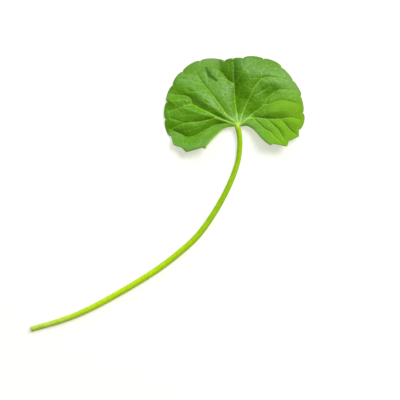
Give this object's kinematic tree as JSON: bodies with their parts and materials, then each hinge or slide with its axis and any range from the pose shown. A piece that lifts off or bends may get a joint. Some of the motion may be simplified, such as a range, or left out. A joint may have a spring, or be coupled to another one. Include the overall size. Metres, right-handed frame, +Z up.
{
  "type": "gotu kola leaf",
  "caption": "Picked gotu kola leaf lying flat: a kidney-shaped blade with rounded teeth and folded palmate veins, on a long slender curved leaf stalk.",
  "frame": {"origin": "on the surface that the leaf lies on, under the middle of its bounding box", "axes": "+Z up from the surface, +Y from the stalk towards the blade's top edge, +X towards the blade's right half"},
  "size_m": [0.1096, 0.11, 0.0074],
  "materials": {
    "blade": "satin waxy leaf green",
    "stalk": "satin yellow-green leaf stalk"
  },
  "bodies": {
    "root": {"blade": "blade", "stalk": "stalk"}
  },
  "joints": []
}
